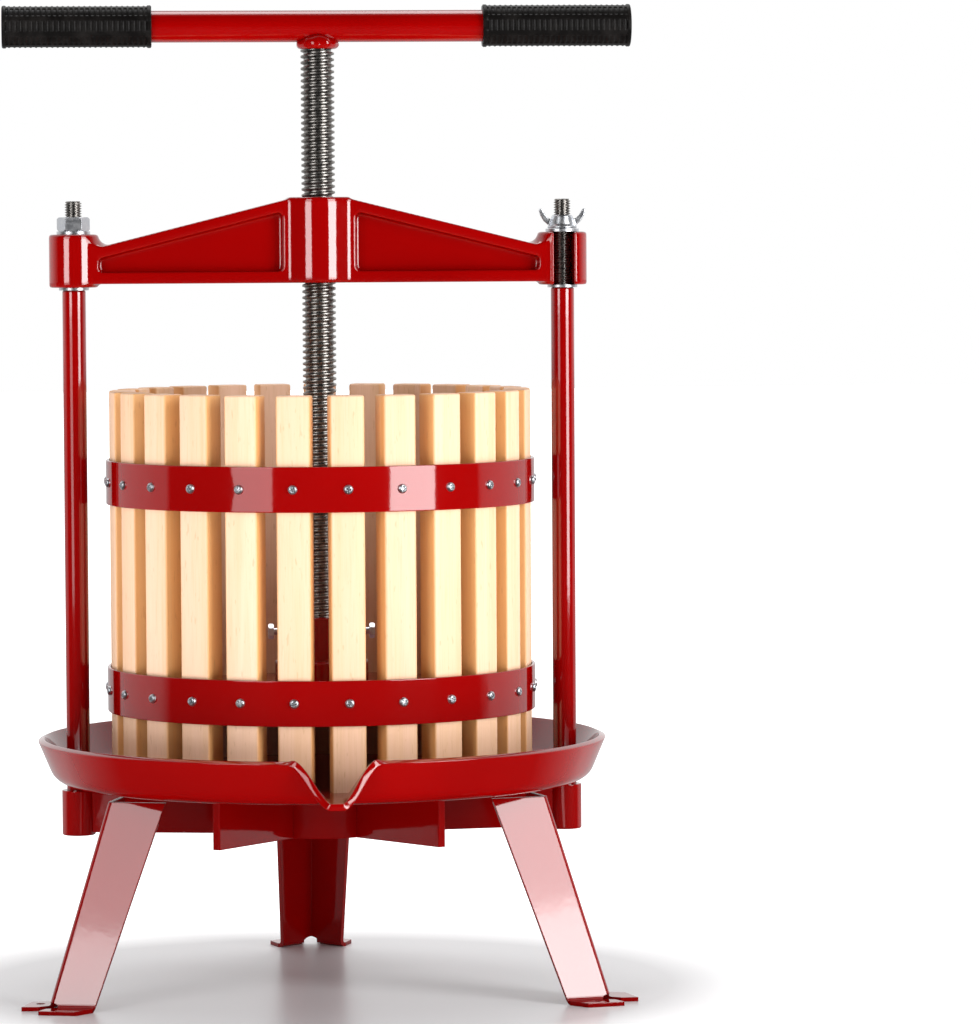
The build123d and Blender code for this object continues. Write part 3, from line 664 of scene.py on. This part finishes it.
def tray_height(x, y, radius):
    """Height of the tray's drawn surface: the bowl, or the trough where that is lower."""
    height = min(wall_height(radius), RIM_TOP)
    if y < 0 and abs(x) < TROUGH_SHOULDER:
        trough = trough_height(x)
        blend = TROUGH_BLEND * (1.0 - smoothstep(TROUGH_TOP / 2, TROUGH_TOP, abs(x))) + NEVER_ZERO
        gap = max(0.0, 1.0 - abs(height - trough) / blend)
        height = min(height, trough) - blend * gap * gap / 4
        height = max(height, FLOOR_TOP)
    return height


def make_tray():
    """The pressed tray: flat floor, rounded corner, leaning wall, and a spout drawn out of the rim."""
    angles = tray_angles()
    work = bmesh.new()
    rings = []
    for share in RING_SHARES:
        ring = []
        for angle in angles:
            radius = INNER_RING + share * (rim_reach(angle) - INNER_RING)
            x = radius * math.cos(angle)
            y = radius * math.sin(angle)
            ring.append(work.verts.new((x, y, tray_height(x, y, radius))))
        rings.append(ring)
    centre = work.verts.new((0, 0, FLOOR_TOP))
    count = len(angles)
    for step in range(count):
        right = (step + 1) % count
        work.faces.new((centre, rings[0][step], rings[0][right]))
        for lower, upper in zip(rings, rings[1:]):
            work.faces.new((lower[step], upper[step], upper[right], lower[right]))
    mesh = run_modifiers(to_mesh("juice_tray", work), [
        ("SOLIDIFY", {"thickness": TRAY_SHEET, "offset": -1.0, "use_even_offset": True}),
        ("BEVEL", {"width": TRAY_EDGE, "segments": 4, "limit_method": "ANGLE",
                   "angle_limit": math.radians(50)})])
    register("juice_tray", mesh, "stand", RED_SHEET, ["tray"])


# ---- basket ----------------------------------------------------------------------------------
SLATS = 25
FIRST_SLAT = math.radians(4.7)
SLAT_SIZE = (20.0, 14.5, 234.0)
SLAT_FACE = 126.0
SLAT_BOTTOM = 125.3
SLAT_ROUND = 1.3
HEAD_RADIUS = 2.8
HEAD_HEIGHT = 1.85
HEAD_SEAT = 0.3              # how far a head's foot is let into the hoop
CROSS_HALF = 0.42            # half width of one arm of the cross recess
CROSS_REACH = 1.6
CROSS_SIDE = 0.18            # widths over which an arm's side and its end slope down
CROSS_END = 0.25
CROSS_DEPTH = 1.1


def slat_turn(index):
    """Turn of a slat about the axis, from the front toward +X."""
    return FIRST_SLAT + math.tau * index / SLATS


def make_slats():
    """Beech slats with rounded edges, each with a tone of its own."""
    dice = random.Random(SEED)
    depth, height = SLAT_SIZE[1:]
    for index in range(SLATS):
        name = "slat_%02d" % (index + 1)
        turn = slat_turn(index)
        work = bmesh.new()
        bmesh.ops.create_cube(work, size=1.0)
        bmesh.ops.scale(work, vec=SLAT_SIZE, verts=work.verts)
        rounding = SLAT_ROUND * dice.uniform(0.75, 1.1)
        bmesh.ops.bevel(work, geom=list(work.edges), offset=rounding, segments=3, profile=0.5,
                        affect="EDGES")
        place = Vector((0, -SLAT_FACE + depth / 2, SLAT_BOTTOM + height / 2))
        bmesh.ops.translate(work, vec=place, verts=work.verts)
        bmesh.ops.rotate(work, cent=(0, 0, 0), matrix=Matrix.Rotation(turn, 3, "Z"), verts=work.verts)
        mesh = to_mesh("beech_" + name, work)
        tone = mesh.attributes.new("tone", "FLOAT", "POINT")
        value = dice.random()
        for item in tone.data:
            item.value = value
        # Marks the side faces, which the beech material paints darker as shade.
        painted_side_shade = mesh.attributes.new("side_shade", "FLOAT", "FACE")
        for face, item in zip(mesh.polygons, painted_side_shade.data):
            item.value = abs(face.normal.x * math.cos(turn) + face.normal.y * math.sin(turn))
        mark_sharp(mesh, 35)
        register("beech_" + name, mesh, "basket", BEECH, [name])


def head_height(x, y):
    """Height of a pan head above the hoop, with its cross recess."""
    radius = math.hypot(x, y)
    height = HEAD_HEIGHT * (1.0 - (radius / HEAD_RADIUS) ** 4) ** 0.5 if radius < HEAD_RADIUS else 0.0
    in_arm = 1.0 - smoothstep(CROSS_HALF, CROSS_HALF + CROSS_SIDE, min(abs(x), abs(y)))
    in_reach = 1.0 - smoothstep(CROSS_REACH - CROSS_END, CROSS_REACH, radius)
    return height - CROSS_DEPTH * in_arm * in_reach


def make_hoop_screws():
    """Cross-recessed pan heads, one on each slat at both hoops."""
    dice = random.Random(SEED + 1)
    segments, rings = 48, 16
    for level in ("upper", "lower"):
        low, high = box_mm("hoop_" + level)
        middle = (low.z + high.z) / 2
        work = bmesh.new()
        for index in range(SLATS):
            facing = (Matrix.Rotation(slat_turn(index), 4, "Z") @ Matrix.Translation((0, -high.x, middle))
                      @ Matrix.Rotation(math.radians(90), 4, "X")
                      @ Matrix.Rotation(dice.uniform(0, math.tau), 4, "Z"))
            grid = []
            for ring in range(1, rings + 1):
                radius = HEAD_RADIUS * (ring / rings) ** 0.9
                line = []
                for step in range(segments):
                    angle = math.tau * step / segments
                    x = radius * math.cos(angle)
                    y = radius * math.sin(angle)
                    line.append(work.verts.new(facing @ Vector((x, y, head_height(x, y)))))
                grid.append(line)
            foot = []
            for step in range(segments):
                angle = math.tau * step / segments
                foot.append(work.verts.new(facing @ Vector((HEAD_RADIUS * math.cos(angle),
                                                            HEAD_RADIUS * math.sin(angle), -HEAD_SEAT))))
            grid.append(foot)
            centre = work.verts.new(facing @ Vector((0, 0, head_height(0, 0))))
            for step in range(segments):
                right = (step + 1) % segments
                work.faces.new((centre, grid[0][step], grid[0][right]))
                for inner, outer in zip(grid, grid[1:]):
                    work.faces.new((inner[step], outer[step], outer[right], inner[right]))
            work.faces.new(list(reversed(foot)))
        mesh = to_mesh("pan_heads_" + level, work)
        mark_sharp(mesh, 60)
        register("pan_heads_" + level, mesh, "basket", ZINC, ["hoop_screws_" + level])


# ---- studio ----------------------------------------------------------------------------------
CAMERA_AT = Vector((-0.1427, -3.2625, 0.4562))
CAMERA_TURN = math.radians(4.285)
CAMERA_PITCH = math.radians(3.003)
CAMERA_ROLL = math.radians(-0.33)
CAMERA_LENS = 191.24
PANEL_DISTANCE = 1.6
# Upright soft boxes: name, azimuth, lowest and highest height, width, radiance.
SIDE_PANELS = (("left_high", -38.0, 0.56, 1.5, 0.62, 3.6), ("left_middle", -38.0, 0.38, 0.56, 0.62, 7.0),
               ("left_low", -38.0, 0.13, 0.38, 0.62, 2.2), ("right_high", 46.0, 0.56, 1.5, 0.72, 7.2),
               ("right_middle", 46.0, 0.38, 0.56, 0.72, 12.0), ("right_low", 46.0, 0.13, 0.38, 0.72, 7.5))
TOP_PANEL_BACK = 0.7         # how far behind the screw the overhead soft box hangs
TOP_PANEL_HEIGHT = 2.0
TOP_PANEL_SIZE = 1.0
TOP_PANEL_RADIANCE = 3.6
FLOOR_HALF = 12.0
WHITE = colour(1.0, 1.0, 1.0)
FLOOR_SHADE = colour(0.66, 0.66, 0.67)
FLOOR_DIM = colour(0.03, 0.03, 0.03)


def add_camera():
    """The camera at the product picture's viewing angle."""
    data = bpy.data.cameras.new("camera")
    data.lens = CAMERA_LENS
    data.clip_start = 0.05
    data.clip_end = 50.0
    camera = bpy.data.objects.new("camera", data)
    level = math.radians(90)
    camera.matrix_world = (Matrix.Translation(CAMERA_AT) @ Matrix.Rotation(-CAMERA_TURN, 4, "Z")
                           @ Matrix.Rotation(level - CAMERA_PITCH, 4, "X")
                           @ Matrix.Rotation(CAMERA_ROLL, 4, "Z"))
    bpy.context.scene.collection.objects.link(camera)
    bpy.context.scene.camera = camera


def add_side_panel(name, azimuth, low, high, width, radiance):
    """An upright soft box that faces the press. azimuth is in degrees from the front, toward +X."""
    turn = math.radians(azimuth)
    at = Vector((PANEL_DISTANCE * math.sin(turn), -PANEL_DISTANCE * math.cos(turn), (low + high) / 2))
    data = bpy.data.lights.new(name, "AREA")
    data.shape = "RECTANGLE"
    data.size = width
    data.size_y = high - low
    data.energy = radiance * math.pi * width * (high - low)
    lamp = bpy.data.objects.new(name, data)
    target = Vector((0, 0, at.z))
    lamp.location = at
    lamp.rotation_euler = (target - at).to_track_quat("-Z", "Y").to_euler()
    bpy.context.scene.collection.objects.link(lamp)


def add_top_panel():
    """A soft box overhead, facing down."""
    data = bpy.data.lights.new("top", "AREA")
    data.shape = "SQUARE"
    data.size = TOP_PANEL_SIZE
    data.energy = TOP_PANEL_RADIANCE * math.pi * TOP_PANEL_SIZE * TOP_PANEL_SIZE
    lamp = bpy.data.objects.new("top", data)
    lamp.location = (0, TOP_PANEL_BACK, TOP_PANEL_HEIGHT)
    bpy.context.scene.collection.objects.link(lamp)


def add_world():
    """A white room behind the press, dim on the camera's side so that the enamel keeps its colour.

    Y runs from -1 on the camera's side to 1 behind the press. Mirrored rays see a darker front half than
    the rays that light the press, and the camera itself sees plain white.
    """
    world = bpy.data.worlds.new("studio")
    bpy.context.scene.world = world
    world.use_nodes = True
    tree = world.node_tree
    background = tree.nodes["Background"]
    coords = add(tree, "ShaderNodeTexCoord")
    axes = add(tree, "ShaderNodeSeparateXYZ", {"Vector": coords.outputs["Generated"]})
    lit = remap(tree, axes.outputs["Y"], -0.35, 0.45, 0.25, 1.0)
    mirrored = remap(tree, axes.outputs["Y"], -0.20, 0.45, 0.004, 1.0)
    path = add(tree, "ShaderNodeLightPath")
    unseen = mix_value(tree, path.outputs["Is Glossy Ray"], lit, mirrored)
    strength = mix_value(tree, path.outputs["Is Camera Ray"], unseen, 1.0)
    background.inputs["Color"].default_value = WHITE
    tree.links.new(strength, background.inputs["Strength"])


def add_floor():
    """A grey floor that takes the press's shadow near it and glows plain white further off as painted light,
    so the grey patch beside the press is partly painted shadow.

    It also lights the press from below, and is kept dim in the enamel's reflections.
    """
    mesh = bpy.data.meshes.new("floor")
    half = FLOOR_HALF
    mesh.from_pydata([(-half, -half, 0), (half, -half, 0), (half, half, 0), (-half, half, 0)], [],
                     [(0, 1, 2, 3)])
    floor = bpy.data.objects.new("floor", mesh)
    bpy.context.scene.collection.objects.link(floor)
    material, tree, shader = new_material("floor")
    place = object_coords(tree)
    distance = add(tree, "ShaderNodeVectorMath", {0: place}, operation="LENGTH").outputs["Value"]
    # Painted light: the floor glows white from 0.21 m out, so only the patch under the press stays grey, with
    # a painted shadow edge.
    painted_glow = remap(tree, distance, 0.21, 0.36, 0.0, 0.95)
    path = add(tree, "ShaderNodeLightPath")
    around = remap(tree, distance, 0.20, 0.40, 0.10, 1.20)
    bounced = math_node(tree, "MULTIPLY", path.outputs["Is Diffuse Ray"], around)
    strength = math_node(tree, "ADD", painted_glow, bounced)
    shader.inputs["Base Color"].default_value = FLOOR_SHADE
    shader.inputs["Roughness"].default_value = 0.30
    shader.inputs["Emission Color"].default_value = WHITE
    tree.links.new(strength, shader.inputs["Emission Strength"])
    dim = diffuse_bsdf(tree, FLOOR_DIM)
    depth = add(tree, "ShaderNodeSeparateXYZ", {"Vector": place}).outputs["Y"]
    in_front = remap(tree, depth, -0.05, 0.25, 1.0, 0.65)
    mirrored = math_node(tree, "MULTIPLY", path.outputs["Is Glossy Ray"], in_front)
    mixed = add(tree, "ShaderNodeMixShader", {0: mirrored, 1: shader.outputs[0], 2: dim})
    tree.links.new(mixed.outputs[0], tree.nodes["Material Output"].inputs["Surface"])
    mesh.materials.append(material)


def add_studio():
    """Camera, room, floor and soft boxes."""
    add_camera()
    add_world()
    add_floor()
    for panel in SIDE_PANELS:
        add_side_panel(*panel)
    add_top_panel()
    bpy.context.scene.view_settings.view_transform = "Standard"


finish_cad_nodes()
make_main_screw()
make_uprights()
make_grips()
make_handle_weld()
make_crossbeam()
make_wing_nut()
make_tray()
make_slats()
make_hoop_screws()
add_studio()
